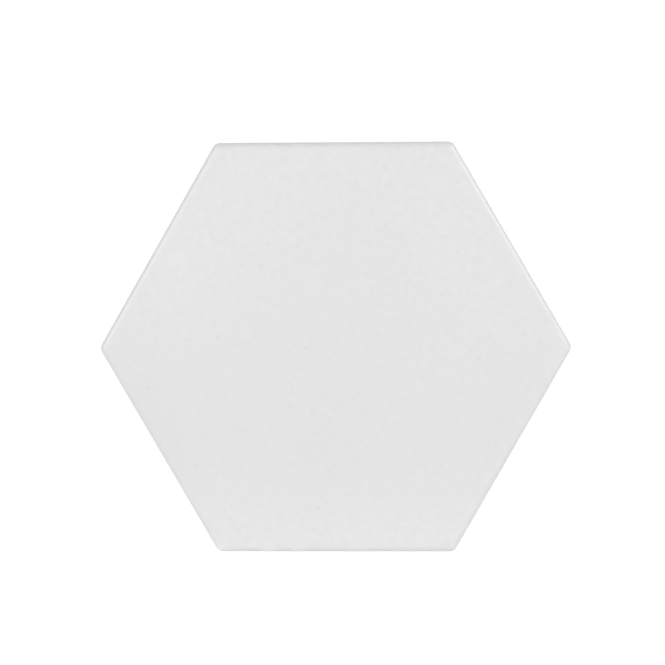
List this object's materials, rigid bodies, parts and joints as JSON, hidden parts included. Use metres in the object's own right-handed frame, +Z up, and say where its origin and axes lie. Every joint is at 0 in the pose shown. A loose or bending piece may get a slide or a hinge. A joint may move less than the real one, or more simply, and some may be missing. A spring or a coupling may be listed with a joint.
{
  "type": "hexagon floor tile",
  "caption": "Flat hexagonal floor tile with a satin glazed face, softly rolled edges and a keyed back, for laying in adhesive beside others of its size.",
  "frame": {"origin": "middle of the back, in the plane that lies on the floor", "axes": "+Z up, out of the glazed face; +X towards one corner; +Y towards the middle of one side"},
  "size_m": [0.201, 0.175, 0.009],
  "materials": {
    "satin_glaze": "satin"
  },
  "bodies": {
    "root": {"hexagon_tile": "satin_glaze"}
  },
  "joints": []
}
